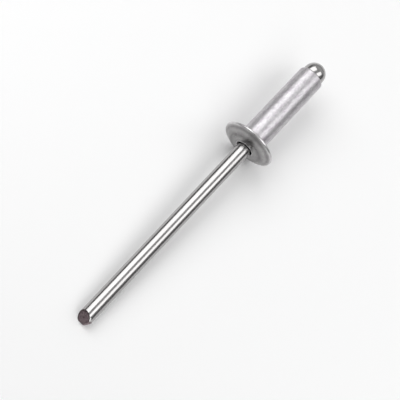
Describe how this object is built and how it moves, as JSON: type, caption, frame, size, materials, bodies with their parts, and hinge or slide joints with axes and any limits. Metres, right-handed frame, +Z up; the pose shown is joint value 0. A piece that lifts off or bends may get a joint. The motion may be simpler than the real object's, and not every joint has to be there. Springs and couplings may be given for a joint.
{
  "type": "blind rivet",
  "caption": "Unset open-end blind rivet with a dome head: aluminium sleeve with a flange, and a steel pulling mandrel whose ball head sits in the blind end",
  "frame": {"origin": "middle of the flange's bearing face, on the rivet's axis", "axes": "+X along the rivet towards the ball head, level; the rivet's own axis leans 5.32 degrees up from +X, because it lies on its flange rim and the flat under its mandrel tip. +Z up, away from the table"},
  "size_m": [0.0413, 0.0066, 0.0066],
  "materials": {
    "satin_aluminium": "satin, as drawn",
    "bright_steel": "bright zinc plated, with a dull sheared end"
  },
  "bodies": {
    "root": {"rivet_body": "satin_aluminium", "mandrel": "bright_steel"}
  },
  "joints": []
}
